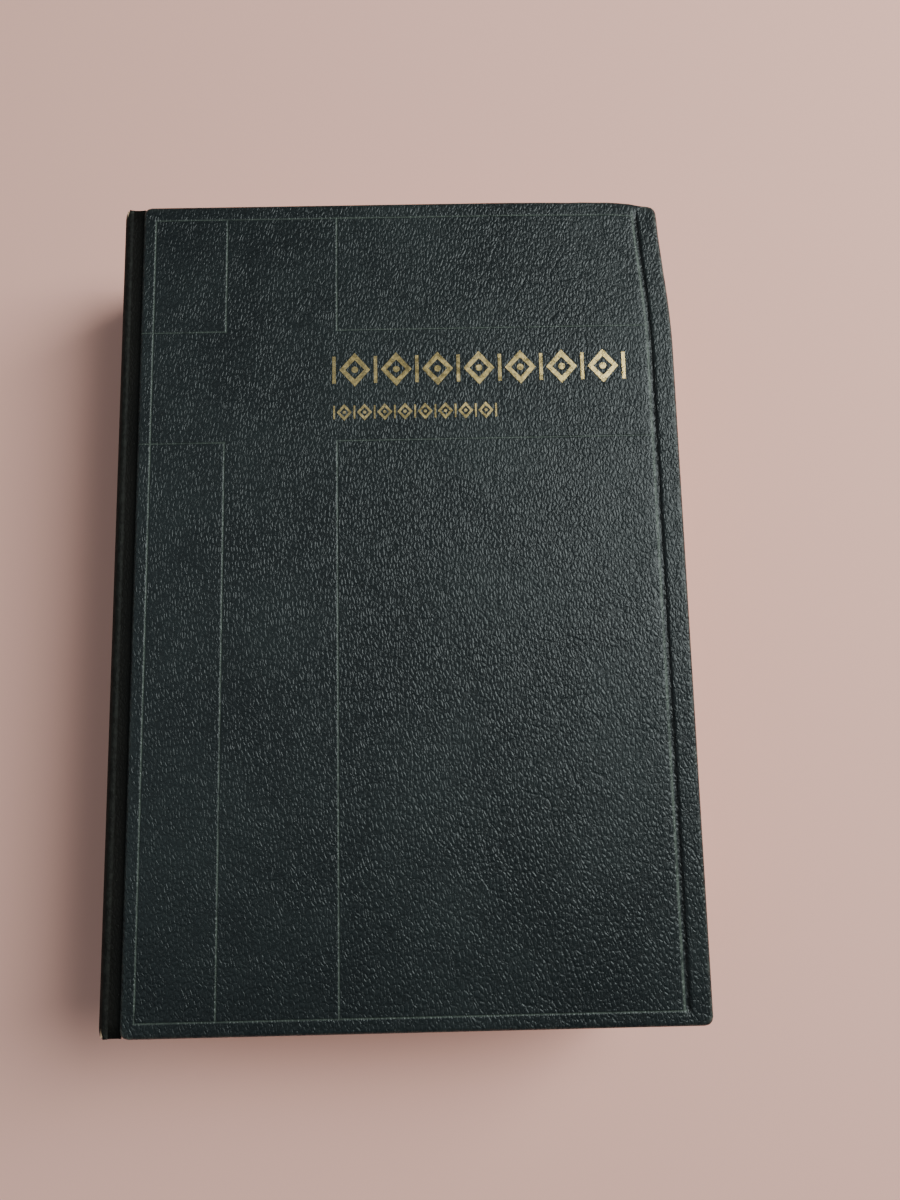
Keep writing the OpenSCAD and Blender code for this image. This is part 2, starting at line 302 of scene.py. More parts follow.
def leaf_stack_tree():
    """Leaves stacked up, each set to the arc of the spine and to its gathering's fold."""
    tree, given, end = geometry_tree(
        "leaf_stack",
        [
            ("Leaves", "NodeSocketInt"),
            ("Leaves Each", "NodeSocketInt"),
            ("Bottom", "NodeSocketFloat"),
            ("Leaf Pitch", "NodeSocketFloat"),
            ("Middle", "NodeSocketFloat"),
            ("Arc X", "NodeSocketFloat"),
            ("Fold Radius", "NodeSocketFloat"),
            ("Page Width", "NodeSocketFloat"),
            ("Page Height", "NodeSocketFloat"),
            ("Unevenness", "NodeSocketFloat"),
            ("Seed", "NodeSocketInt"),
            ("Material", "NodeSocketMaterial"),
        ],
    )

    def arc(z):
        rise = minus(tree, z, given["Middle"])
        square = product(tree, rise, rise)
        radius = product(tree, given["Fold Radius"], given["Fold Radius"])
        across = maths(tree, "SQRT", minus(tree, radius, square))
        return minus(tree, given["Arc X"], across)

    def jitter(seed_step, share):
        seed = total(tree, given["Seed"], seed_step)
        high = product(tree, given["Unevenness"], share)
        low = product(tree, high, -1.0)
        node = add(tree, "FunctionNodeRandomValue", {"data_type": "FLOAT"})
        links = ((low, 2), (high, 3), (seed, 8))
        for value, place in links:
            tree.links.new(value, node.inputs[place])
        return node.outputs[1]

    index = tree.nodes.new("GeometryNodeInputIndex").outputs[0]
    pitch = given["Leaf Pitch"]
    height = total(tree, given["Bottom"], product(tree, total(tree, index, 0.5), pitch))
    group = maths(tree, "FLOOR", maths(tree, "DIVIDE", index, given["Leaves Each"]))
    thick = product(tree, pitch, given["Leaves Each"])
    group_z = total(tree, given["Bottom"], product(tree, total(tree, group, 0.5), thick))
    half = product(tree, thick, 0.5)
    share = maths(tree, "DIVIDE", minus(tree, height, group_z), half)
    round_fold = maths(tree, "SQRT", minus(tree, 1.0, product(tree, share, share)))
    fold = product(tree, half, minus(tree, 1.0, round_fold))
    back = total(tree, arc(group_z), fold)
    fore = total(tree, total(tree, arc(height), given["Page Width"]), jitter(1, 1.0))
    wide = minus(tree, fore, back)
    tall = total(tree, given["Page Height"], jitter(2, 1.0))
    middle = product(tree, total(tree, fore, back), 0.5)
    line = add(tree, "GeometryNodeMeshLine", {"mode": "OFFSET"}, {"Count": given["Leaves"]})
    place = add(tree, "ShaderNodeCombineXYZ", {}, {"X": middle, "Y": jitter(3, 0.5), "Z": height})
    points = add(
        tree,
        "GeometryNodeSetPosition",
        {},
        {"Geometry": line.outputs["Mesh"], "Position": place.outputs["Vector"]},
    )
    leaf = tree.nodes.new("GeometryNodeMeshCube")
    leaf.inputs["Size"].default_value = (1, 1, 1)
    size = add(
        tree, "ShaderNodeCombineXYZ", {}, {"X": wide, "Y": tall, "Z": product(tree, pitch, 0.97)}
    )
    stack = add(
        tree,
        "GeometryNodeInstanceOnPoints",
        {},
        {"Points": points.outputs[0], "Instance": leaf.outputs["Mesh"], "Scale": size.outputs["Vector"]},
    )
    realized(tree, end, stack.outputs[0], given["Material"])
    return tree


def finish_piece(obj, material, slot, body, *nodes, smooth=True):
    """Gives a piece its material and body, and hides the solids it stands for; its slot is not used."""
    obj.data.materials.clear()
    obj.data.materials.append(material)
    if smooth:
        obj.data.shade_smooth()
    if nodes:
        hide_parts(*nodes)
    if body:
        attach(obj, body)
    return obj


def repaint(node, material):
    """A solid keeps its shape and takes a better material."""
    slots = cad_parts[node].data.materials
    slots.clear()
    slots.append(material)


text_block = made_by(
    "text_block_leaves",
    leaf_stack_tree(),
    Leaves=GATHERINGS * LEAVES_EACH,
    Leaves_Each=LEAVES_EACH,
    Bottom=first_low.z,
    Leaf_Pitch=gathering_pitch / LEAVES_EACH,
    Middle=middle_z,
    Arc_X=arc_x,
    Fold_Radius=fold_radius,
    Page_Width=page_width,
    Page_Height=page_height,
    Unevenness=0.09 * MM,
    Seed=7,
    Material=page_edge_paper,
)
finish_piece(
    text_block,
    page_edge_paper,
    "page_paper",
    "text_block",
    *[f"gathering_{number:02d}" for number in range(1, GATHERINGS + 1)],
    smooth=False,
)

for guard in ("front_gutter_guard", "back_gutter_guard"):
    repaint(guard, page_edge_paper)

# ---------------------------------------------------------------- sewing, mull and lining
# Linen thread runs from gathering to gathering at six stations. Open starched
# mull and brown kraft paper are glued over the folds to hold the round.
weave, given, result = new_group(
    "cloth_weave",
    [
        ("Place", "NodeSocketVector", None),
        ("Light", "NodeSocketColor", (0.8, 0.78, 0.7, 1)),
        ("Dark", "NodeSocketColor", (0.4, 0.36, 0.28, 1)),
        ("Threads", "NodeSocketFloat", 1000.0),
    ],
    [("Color", "NodeSocketColor"), ("Height", "NodeSocketFloat")],
)
weave_parts = add(weave, "ShaderNodeSeparateXYZ", {}, {"Vector": given["Place"]})
warp_line = maths(weave, "PINGPONG", product(weave, weave_parts.outputs["Y"], given["Threads"]), 0.5)
weft_line = maths(weave, "PINGPONG", product(weave, weave_parts.outputs["Z"], given["Threads"]), 0.5)
crossing = maths(weave, "MAXIMUM", warp_line, weft_line)
raised = band(weave, crossing, 0.12, 0.4)
weave.links.new(blend_colour(weave, raised, given["Dark"], given["Light"]), result.inputs["Color"])
weave.links.new(crossing, result.inputs["Height"])


def woven_material(name, light, dark, threads, roughness=0.9):
    """Cloth or thread with its own count of threads to the metre."""
    material, tree, shader = new_material(name, roughness, specular=0.2)
    cloth_node = place_group(
        tree, weave, Place=object_place(tree), Light=light, Dark=dark, Threads=threads
    )
    tree.links.new(cloth_node.outputs["Color"], shader.inputs["Base Color"])
    bump(tree, shader, cloth_node.outputs["Height"], 0.6, 0.15 * MM)
    return material


def kraft_material(name, light, dark):
    """Card or kraft paper with a flecked face."""
    material, tree, shader = new_material(name, 0.88, specular=0.2)
    place = object_place(tree)
    fleck = band(tree, noise_of(tree, place, 1400, 5, 0.7), 0.38, 0.66)
    tree.links.new(blend_colour(tree, fleck, light, dark), shader.inputs["Base Color"])
    bump(tree, shader, fleck, 0.3, 0.08 * MM)
    return material


linen = woven_material("linen_thread", (0.80, 0.76, 0.64, 1), (0.45, 0.40, 0.28, 1), 2600)
mull_cloth = woven_material("mull_cloth", (0.84, 0.81, 0.72, 1), (0.42, 0.34, 0.22, 1), 900)
kraft = kraft_material("kraft_lining", (0.42, 0.29, 0.17, 1), (0.29, 0.19, 0.10, 1))

for node, material in (
    ("sewing_thread", linen),
    ("mull", mull_cloth),
    ("spine_lining", kraft),
):
    repaint(node, material)

# ---------------------------------------------------------------- headbands
# A cord wound with cream and green thread sits on the folds at head and tail.
# The turns lie side by side round the cord and follow the round of the spine.
band_low, band_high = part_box("head_band")
band_cream = woven_material("headband_cream", (0.78, 0.72, 0.58, 1), (0.55, 0.48, 0.34, 1), 3000)
band_green = woven_material("headband_green", (0.05, 0.12, 0.09, 1), (0.02, 0.05, 0.04, 1), 3000)


def headband_tree():
    """Turns of thread, set along an arc about the spine's centre line."""
    tree, given, end = geometry_tree(
        "headband_turns",
        [
            ("Turns", "NodeSocketInt"),
            ("Arc Radius", "NodeSocketFloat"),
            ("Half Angle", "NodeSocketFloat"),
            ("Cord Radius", "NodeSocketFloat"),
            ("Thread Radius", "NodeSocketFloat"),
            ("Every Other", "NodeSocketInt"),
            ("Centre", "NodeSocketVector"),
            ("Material", "NodeSocketMaterial"),
        ],
    )
    index = tree.nodes.new("GeometryNodeInputIndex").outputs[0]
    number = total(tree, product(tree, index, 2.0), given["Every Other"])
    share = maths(tree, "DIVIDE", number, product(tree, given["Turns"], 2.0))
    angle = product(tree, minus(tree, product(tree, share, 2.0), 1.0), given["Half Angle"])
    centre = add(tree, "ShaderNodeSeparateXYZ", {}, {"Vector": given["Centre"]})
    across = product(tree, maths(tree, "COSINE", angle), given["Arc Radius"])
    rise = product(tree, maths(tree, "SINE", angle), given["Arc Radius"])
    place = add(
        tree,
        "ShaderNodeCombineXYZ",
        {},
        {
            "X": minus(tree, centre.outputs["X"], across),
            "Y": centre.outputs["Y"],
            "Z": total(tree, centre.outputs["Z"], rise),
        },
    )
    line = add(tree, "GeometryNodeMeshLine", {"mode": "OFFSET"}, {"Count": given["Turns"]})
    points = add(
        tree,
        "GeometryNodeSetPosition",
        {},
        {"Geometry": line.outputs["Mesh"], "Position": place.outputs["Vector"]},
    )

    def circle(sides, radius):
        kind = "GeometryNodeCurvePrimitiveCircle"
        return add(tree, kind, {}, {"Resolution": sides, "Radius": radius}).outputs["Curve"]

    ring = circle(12, given["Cord Radius"])
    strand = circle(6, given["Thread Radius"])
    turn = add(tree, "GeometryNodeCurveToMesh", {}, {"Curve": ring, "Profile Curve": strand})
    tilt = add(tree, "ShaderNodeCombineXYZ", {}, {"X": 0.0, "Y": angle, "Z": 0.0})
    turns = add(
        tree,
        "GeometryNodeInstanceOnPoints",
        {},
        {"Points": points.outputs[0], "Instance": turn.outputs[0], "Rotation": tilt.outputs["Vector"]},
    )
    realized(tree, end, turns.outputs[0], given["Material"])
    return tree


headband_turns = headband_tree()
thread_radius = 0.2 * MM
cord_radius = (band_high.y - band_low.y) / 2 - thread_radius
band_radius = fold_radius - (band_high.y - band_low.y) / 2
band_half = math.asin((band_high.z - band_low.z) / 2 / band_radius) * 0.985
band_turns = int(band_half * 2 * band_radius / (thread_radius * 4))
for place, node in ((1, "head_band"), (-1, "tail_band")):
    band_y = place * (band_low.y + band_high.y) / 2
    for every_other, thread in enumerate((band_cream, band_green)):
        winding = made_by(
            f"{node}_{('cream', 'green')[every_other]}",
            headband_turns,
            Turns=band_turns,
            Arc_Radius=band_radius,
            Half_Angle=band_half,
            Cord_Radius=cord_radius,
            Thread_Radius=thread_radius,
            Every_Other=every_other,
            Centre=(arc_x, band_y, middle_z),
            Material=thread,
        )
        finish_piece(winding, thread, "headband_cloth", "text_block", node)

# ---------------------------------------------------------------- loose leaves and flyleaves
# Single leaves glued in at the gutter. Each is a flat sheet, its grid closer
# beside the glue line.
INK = (0.25, 0.24, 0.22, 1)
endpaper = paper_material("endpaper", (0.78, 0.73, 0.62, 1), (0.66, 0.58, 0.44, 1), 0.0, 0.74)
LEAF_CURL = 26 * MM


def printed_material():
    """Leaf paper with two columns of unreadable grey lines, placed by the leaf's own UV."""
    line_pitch = 2.9 * MM
    word = 5.2 * MM
    margins = (9 * MM, 65 * MM, 70 * MM, 126 * MM)
    foot, head = 12 * MM, 195 * MM
    material, tree, shader = new_material("printed_leaf", 0.8, specular=0.25)
    uv = add(tree, "ShaderNodeUVMap", {"uv_map": "surface"}).outputs["UV"]
    parts = add(tree, "ShaderNodeSeparateXYZ", {}, {"Vector": uv})
    across, along = parts.outputs["X"], parts.outputs["Y"]
    row = maths(tree, "DIVIDE", along, line_pitch)
    in_line = maths(tree, "PINGPONG", row, 0.5)
    row_number = maths(tree, "FLOOR", row)
    word_place = add(
        tree,
        "ShaderNodeCombineXYZ",
        {},
        {"X": maths(tree, "DIVIDE", across, word), "Y": product(tree, row_number, 7.31)},
    ).outputs["Vector"]
    words = noise_of(tree, word_place, 3.0, 1, 0.4)
    left, left_end, right, right_end = margins

    def between(value, low, high):
        return product(tree, maths(tree, "GREATER_THAN", value, low), maths(tree, "LESS_THAN", value, high))

    first_column, second_column = between(across, left, left_end), between(across, right, right_end)
    columns = maths(tree, "ADD", first_column, second_column, clamp=True)
    rows = between(along, foot, head)
    ink = product(tree, product(tree, columns, rows), band(tree, in_line, 0.20, 0.34))
    ink = product(tree, ink, band(tree, words, 0.40, 0.46))
    fibre = place_group(
        tree, paper_fibre, Place=object_place(tree), Paper=PAPER, Aged=PAPER_AGED, Streaks=0.0
    )
    colour = blend_colour(tree, product(tree, ink, 0.62), fibre.outputs["Color"], INK)
    tree.links.new(colour, shader.inputs["Base Color"])
    bump(tree, shader, fibre.outputs["Height"], 0.3, 0.04 * MM)
    return material


printed_leaf = printed_material()


def mesh_object(name, verts, faces, uvs=None):
    """A mesh at its own place, with the object left at the origin."""
    mesh = bpy.data.meshes.new(name)
    mesh.from_pydata(verts, [], faces)
    if uvs:
        layer = mesh.uv_layers.new(name="surface")
        for loop in mesh.loops:
            layer.data[loop.index].uv = uvs[loop.vertex_index]
    mesh.validate()
    obj = bpy.data.objects.new(name, mesh)
    bpy.context.scene.collection.objects.link(obj)
    return obj


def facing_out(obj):
    """Turns every face of a closed piece outwards."""
    work = bmesh.new()
    work.from_mesh(obj.data)
    bmesh.ops.recalc_face_normals(work, faces=work.faces)
    work.to_mesh(obj.data)
    work.free()
    return obj


def spread(low, high, step):
    """Even divisions from low to high, no wider than a step."""
    count = max(1, math.ceil((high - low) / step))
    return [low + (high - low) * place / count for place in range(count + 1)]


def plate(name, xs, ys, top, bottom, shape=lambda x, y: (x, y)):
    """A closed sheet on a grid, with its upper and lower faces given by functions of place."""
    columns, rows = len(xs), len(ys)
    verts, uvs = [], []
    for face in (top, bottom):
        for y in ys:
            for x in xs:
                px, py = shape(x, y)
                verts.append((px, py, face(x, y)))
                uvs.append((x - xs[0], y - ys[0]))
    under = columns * rows
    faces = []
    for row in range(rows - 1):
        for column in range(columns - 1):
            a = row * columns + column
            b, c, d = a + 1, a + columns + 1, a + columns
            faces.append((a, b, c, d))
            faces.append((under + d, under + c, under + b, under + a))
    rim = [(column, 0) for column in range(columns)]
    rim += [(columns - 1, row) for row in range(1, rows)]
    rim += [(column, rows - 1) for column in range(columns - 2, -1, -1)]
    rim += [(0, row) for row in range(rows - 2, 0, -1)]
    for here, there in zip(rim, rim[1:] + rim[:1]):
        a = here[1] * columns + here[0]
        b = there[1] * columns + there[0]
        faces.append((a, under + a, under + b, b))
    return facing_out(mesh_object(name, verts, faces, uvs))


def loose_leaf(node, material, slot):
    """One flat leaf, with its grid closer near the gutter."""
    low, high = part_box(node)
    xs = spread(low.x, low.x + LEAF_CURL, 1.6 * MM) + spread(low.x + LEAF_CURL, high.x, 16 * MM)[1:]
    ys = spread(low.y, high.y, 20 * MM)
    leaf = plate(node + "_sheet", xs, ys, lambda x, y: high.z, lambda x, y: low.z)
    finish_piece(leaf, material, slot, None, node, smooth=False)
    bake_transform(leaf)


for node in [f"front_leaf_{n}" for n in range(1, 6)] + [f"back_leaf_{n}" for n in range(1, 4)]:
    loose_leaf(node, printed_leaf, "page_paper")
for node in ("front_flyleaf", "back_flyleaf"):
    loose_leaf(node, endpaper, "endpaper")

# ---------------------------------------------------------------- front cover
# A grey board wrapped in leatherette. The border and the four angles of a cross
# are pressed in blind with a hot tool, and one deep line runs by the fore-edge.

# The leatherette is green-black, with a pressed pebble grain and long soft creases.
# It is paler where it is rubbed. It also carries painted light: painted highlights on the
# tool lines and on the lit wall of the deep line, painted glints in the grain, and painted
# shade in the grain's valleys, on the deep line's shaded wall and over spine and joint.
GROUND = (0.0060, 0.0092, 0.0102, 1)
GROUND_LIGHT = (0.0108, 0.0166, 0.0172, 1)
# SHADED and SHADED_LIGHT are painted shade: the darker grounds of the spine and the joint.
SHADED = (0.0050, 0.0050, 0.0042, 1)
SHADED_LIGHT = (0.0080, 0.0080, 0.0068, 1)
RUBBED = (0.072, 0.090, 0.076, 1)
# Painted highlight colour for the tool lines and the lit wall of the deep line.
TOOL_HIGHLIGHT = (0.074, 0.100, 0.084, 1)
# Near-black painted shade for the grain's valleys and the deep line's shaded wall.
PAINTED_SHADE = (0.0012, 0.0012, 0.0012, 1)
# Pale colour of the painted glints in the grain.
GLINT_PAINT = (0.16, 0.18, 0.15, 1)
PEBBLES = 1150.0
GRAIN_DEPTH = 0.16 * MM

grain, given, result = new_group(
    "leather_grain",
    [
        ("Place", "NodeSocketVector", None),
        ("Pebbles", "NodeSocketFloat", 900.0),
        ("Creases", "NodeSocketFloat", 1.0),
    ],
    [
        ("Height", "NodeSocketFloat"),
        ("Valley", "NodeSocketFloat"),
        ("Patch", "NodeSocketFloat"),
        ("Glint", "NodeSocketFloat"),
    ],
)


def warped(tree, place, scale, amount):
    """A place pushed about by noise, so a pattern laid on it wanders."""
    push = add(tree, "ShaderNodeTexNoise", {}, {"Vector": place, "Scale": scale, "Detail": 3.0})
    moved = add(
        tree,
        "ShaderNodeVectorMath",
        {"operation": "MULTIPLY_ADD"},
        {0: push.outputs["Color"], 1: (amount, amount, amount), 2: place},
    )
    return moved.outputs[0]


def cell_edges(tree, place, scale):
    """How far a point is from the edge of its cell."""
    cells = add(
        tree,
        "ShaderNodeTexVoronoi",
        {"feature": "DISTANCE_TO_EDGE"},
        {"Vector": place, "Scale": scale, "Randomness": 1.0},
    )
    return cells.outputs["Distance"]


pebble_place = stretched(
    grain, warped(grain, given["Place"], 420.0, 1.3 * MM), (1.0, 0.50, 1.0), (0, 0, math.radians(-20))
)
pebble_edge = cell_edges(grain, pebble_place, given["Pebbles"])
fine = noise_of(grain, given["Place"], 2900, 4, 0.65)
crease_place = stretched(
    grain, warped(grain, given["Place"], 75.0, 9 * MM), (1.0, 0.45, 1.0), (0, 0, math.radians(12))
)
crease_line = band(grain, cell_edges(grain, crease_place, 150.0), 0.0, 0.050, 1.0, 0.0)
across = add(grain, "ShaderNodeSeparateXYZ", {}, {"Vector": given["Place"]}).outputs["X"]
for share in (
    band(grain, noise_of(grain, given["Place"], 40, 2), 0.36, 0.60),
    band(grain, across, -25 * MM, 30 * MM, 0.3, 1.0),
    given["Creases"],
):
    crease_line = product(grain, crease_line, share)
patches = noise_of(grain, given["Place"], 30, 4, 0.6)
dome = band(grain, pebble_edge, 0.0, 0.32)
pressed_well = band(grain, noise_of(grain, given["Place"], 210, 4, 0.65), 0.34, 0.66, 0.48, 0.80)
height = total(grain, product(grain, dome, pressed_well), product(grain, fine, 0.4))
height = minus(grain, height, product(grain, crease_line, 0.5))
# Painted glints: sparse small pale spots in the grain.
glint_spots = noise_of(grain, given["Place"], 1900, 2, 0.8)
for socket, value in (
    ("Height", height),
    ("Valley", band(grain, pebble_edge, 0.0, 0.10, 1.0, 0.0)),
    ("Patch", band(grain, patches, 0.30, 0.74)),
    ("Glint", band(grain, glint_spots, 0.70, 0.77)),
):
    grain.links.new(value, result.inputs[socket])


def leather_material(name, creases, ground, attributes, sheen, satin, relief):
    """The covering: its two ground colours, gloss and grain, painted glints, and wear, painted highlight and
    painted shadow from the piece's attributes.
    """
    material, tree, shader = new_material(name, 0.42, specular=sheen, Specular_Tint=(0.84, 0.97, 1.0, 1))
    place = object_place(tree)
    skin = place_group(tree, grain, Place=place, Pebbles=PEBBLES, Creases=creases)
    colour = blend_colour(tree, skin.outputs["Patch"], *ground)
    # Painted shade: the valleys between the pebbles are darkened.
    colour = blend_colour(tree, product(tree, skin.outputs["Valley"], 0.4), colour, PAINTED_SHADE)
    roughness = band(tree, skin.outputs["Patch"], 0.0, 1.0, satin, satin + 0.05)

    def marked(kind, strength, low, high, scale, paint):
        amount = add(tree, "ShaderNodeAttribute", {"attribute_name": kind}).outputs["Fac"]
        broken = product(tree, amount, band(tree, noise_of(tree, place, scale, 5, 0.7), low, high))
        return blend_colour(tree, product(tree, broken, strength), colour, paint)

    if attributes:
        colour = marked("rubbed", 0.8, 0.40, 0.66, 520, RUBBED)
        # Painted highlight on the tool lines and on the lit wall of the deep line.
        colour = marked("tooled", 0.85, 0.20, 0.60, 240, TOOL_HIGHLIGHT)
        # Painted shadow on the shaded right wall of the deep line.
        colour = marked("groove_shadow", 0.95, 0.0, 0.2, 240, PAINTED_SHADE)
    # Painted glints on the grain.
    colour = blend_colour(tree, product(tree, skin.outputs["Glint"], 0.35), colour, GLINT_PAINT)
    tree.links.new(colour, shader.inputs["Base Color"])
    tree.links.new(roughness, shader.inputs["Roughness"])
    bump(tree, shader, skin.outputs["Height"], relief, GRAIN_DEPTH)
    return material


cover_leather = leather_material("cover_leatherette", 1.0, (GROUND, GROUND_LIGHT), True, 0.36, 0.36, 0.95)
grey_board = kraft_material("grey_board", (0.40, 0.39, 0.37, 1), (0.24, 0.23, 0.22, 1))
board_low, board_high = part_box("front_board")
cloth = front_high.z - board_high.z
EDGE_ROUND = 1.15 * MM
CORNER = 2.2 * MM
board_x, fore_x = front_low.x, front_high.x
foot_y, head_y = front_low.y, front_high.y
border = {
    "left": board_x + 3.6 * MM,
    "right": fore_x - 6.2 * MM,
    "foot": foot_y + 3.8 * MM,
    "head": head_y - 4.2 * MM,
}
upright = (border["left"] + 19.5 * MM, border["left"] + 49.3 * MM)
arm = (border["foot"] + 144.6 * MM, border["foot"] + 175.5 * MM)
TOOL_WIDTH = 0.42 * MM
TOOL_DEPTH = 0.2 * MM
FORE_WIDTH = 1.9 * MM
FORE_DEPTH = 0.5 * MM

# Each line is (across or up, where it stands, from, to).
tool_lines = [
    ("y", border["foot"], border["left"], border["right"]),
    ("y", border["head"], border["left"], border["right"]),
    ("x", border["left"], border["foot"], border["head"]),
]
tool_lines += [("x", x, border["foot"], arm[0]) for x in upright]
tool_lines += [("x", x, arm[1], border["head"]) for x in upright]
tool_lines += [("y", y, board_x, upright[0]) for y in arm]
tool_lines += [("y", y, upright[1], border["right"]) for y in arm]


def smooth_step(value, low, high):
    """Runs from 0 at low to 1 at high, with flat ends."""
    share = min(1.0, max(0.0, (value - low) / (high - low)))
    return share * share * (3 - 2 * share)


def tool_mark(x, y):
    """How much of a tooled line is at a place, from 0 to 1."""
    mark = 0.0
    for way, stand, start, stop in tool_lines:
        off, along = (x - stand, y) if way == "x" else (y - stand, x)
        if abs(off) > TOOL_WIDTH * 1.2:
            continue
        end = smooth_step(along, start - TOOL_WIDTH, start) * smooth_step(-along, -stop - TOOL_WIDTH, -stop)
        share = 1.0 if way == "x" else 0.7
        mark = max(mark, share * end * (1 - smooth_step(abs(off), TOOL_WIDTH * 0.18, TOOL_WIDTH * 0.75)))
    return mark


def fore_ends(y):
    """Where the deep line runs: it dies away just past the foot and head lines."""
    foot = smooth_step(y, border["foot"] - 0.9 * MM, border["foot"] + 0.4 * MM)
    return foot * (1 - smooth_step(y, border["head"] - 0.5 * MM, border["head"] + 3 * MM))


def fore_mark(x, y):
    """How much of the deep line by the fore-edge is at a place, from 0 to 1."""
    off = x - border["right"]
    left = smooth_step(off, -FORE_WIDTH * 0.62, -FORE_WIDTH * 0.05)
    right = 1 - smooth_step(off, FORE_WIDTH * 0.2, FORE_WIDTH * 0.5)
    return left * right * fore_ends(y)


def fore_strip(x, y, start, stop):
    """A strip beside the middle of the deep line, between two distances across it."""
    off = x - border["right"]
    across = smooth_step(off, start - 0.25 * MM, start) * (1 - smooth_step(off, stop, stop + 0.25 * MM))
    return across * fore_ends(y)


def edge_distance(x, y):
    """How far a place on the cover is from its nearest edge, with round corners."""
    across = min(x - board_x, fore_x - x)
    along = min(y - foot_y, head_y - y)
    if across < CORNER and along < CORNER:
        return CORNER - max(CORNER - across, CORNER - along)
    return min(across, along)


def round_corner(x, y):
    """Draws the grid's square corners in to round ones."""
    for side in (board_x + CORNER, fore_x - CORNER):
        for end in (foot_y + CORNER, head_y - CORNER):
            a, b = x - side, y - end
            outside = (a < 0) == (side < 0) and (b < 0) == (end < 0) and a and b
            if outside:
                pull = max(abs(a), abs(b)) / math.hypot(a, b)
                return side + a * pull, end + b * pull
    return x, y


# The head corner at the fore-edge has been knocked in.
KNOCK_LENGTH = 44 * MM
KNOCK_IN = 2.6 * MM
KNOCK_DOWN = 0.7 * MM
SOFTNESS = 0.07 * MM


def knock(x, y):
    """How much of the knocked corner is at a place, from 0 to 1."""
    along = smooth_step(y, head_y - KNOCK_LENGTH, head_y + 6 * MM)
    across = smooth_step(x, fore_x - 1.1 * KNOCK_LENGTH, fore_x)
    return along * across


def front_shape(x, y):
    """A place on the front cover, with its round and its knocked corner."""
    px, py = round_corner(x, y)
    strength = knock(x, y)
    dip = 1.5 * MM * strength * smooth_step(x, fore_x - 14 * MM, fore_x)
    return px - KNOCK_IN * strength, py - dip


def edge_drop(distance, radius):
    """How far a rounded edge falls at a distance in from it."""
    if distance >= radius:
        return 0.0
    return radius - math.sqrt(max(0.0, radius * radius - (radius - distance) ** 2))


def ripple(x, y, size, height, seed):
    """Soft unevenness of a glued covering."""
    return height * noise.noise(Vector((x / size, y / size, seed)))


def front_top(x, y):
    """The outer face of the front cover."""
    distance = edge_distance(x, y)
    deep = FORE_DEPTH * fore_mark(x, y)
    depth = TOOL_DEPTH * tool_mark(x, y) * (0.85 + 0.3 * noise.noise(Vector((x / (9 * MM), y / (9 * MM), 2))))
    inside = smooth_step(distance, 0.2 * MM, 3 * MM)
    soft = ripple(x, y, 24 * MM, SOFTNESS, 1) + ripple(x, y, 7 * MM, 0.03 * MM, 5)
    crumple = knock(x, y) * ripple(x, y, 5 * MM, 0.45 * MM, 9)
    fall = edge_drop(distance, EDGE_ROUND) + max(deep, depth) - inside * (soft - SOFTNESS)
    return front_high.z - (fall + KNOCK_DOWN * knock(x, y)) + crumple


TURN_IN = 15 * MM


def inner_face(level, x, y, sink, inset=0.0):
    """The inner face of a cover: turn-ins round a window that steps down to the board."""
    window = smooth_step(edge_distance(x, y), cloth + TURN_IN + inset, cloth + TURN_IN + inset + 0.25 * MM)
    return level + sink * window


def front_bottom(x, y):
    """The inner side of the front covering."""
    level = inner_face(front_low.z, x, y, cloth + 0.03 * MM)
    return level + edge_drop(edge_distance(x, y), 0.8 * MM) - KNOCK_DOWN * knock(x, y)


def edge_steps(radius, count=6):
    """Distances from an edge that follow its round."""
    return [radius * (1 - math.cos(math.pi / 2 * step / count)) for step in range(count + 1)]


BESIDE_A_LINE = (0, 0.15, 0.3, 0.5, 0.75, 1.2)


def grid_lines(low, high, marks, step):
    """Grid lines across a cover, close together at its edges and at each mark."""
    lines = {low + d for d in edge_steps(EDGE_ROUND)} | {high - d for d in edge_steps(EDGE_ROUND)}
    lines |= {low + CORNER, high - CORNER}
    window = cloth + TURN_IN
    lines |= {low + window, low + window + 0.25 * MM, high - window, high - window - 0.25 * MM}
    for mark, width in marks:
        lines |= {mark + width * share * side for share in BESIDE_A_LINE for side in (-1, 1)}
    kept = sorted(line for line in lines if low <= line <= high)
    merged = [kept[0]]
    for line in kept[1:]:
        if line - merged[-1] > 0.02 * MM:
            merged.append(line)
    merged[-1] = high
    filled = [merged[0]]
    for line in merged[1:]:
        filled += spread(filled[-1], line, step)[1:]
    return filled


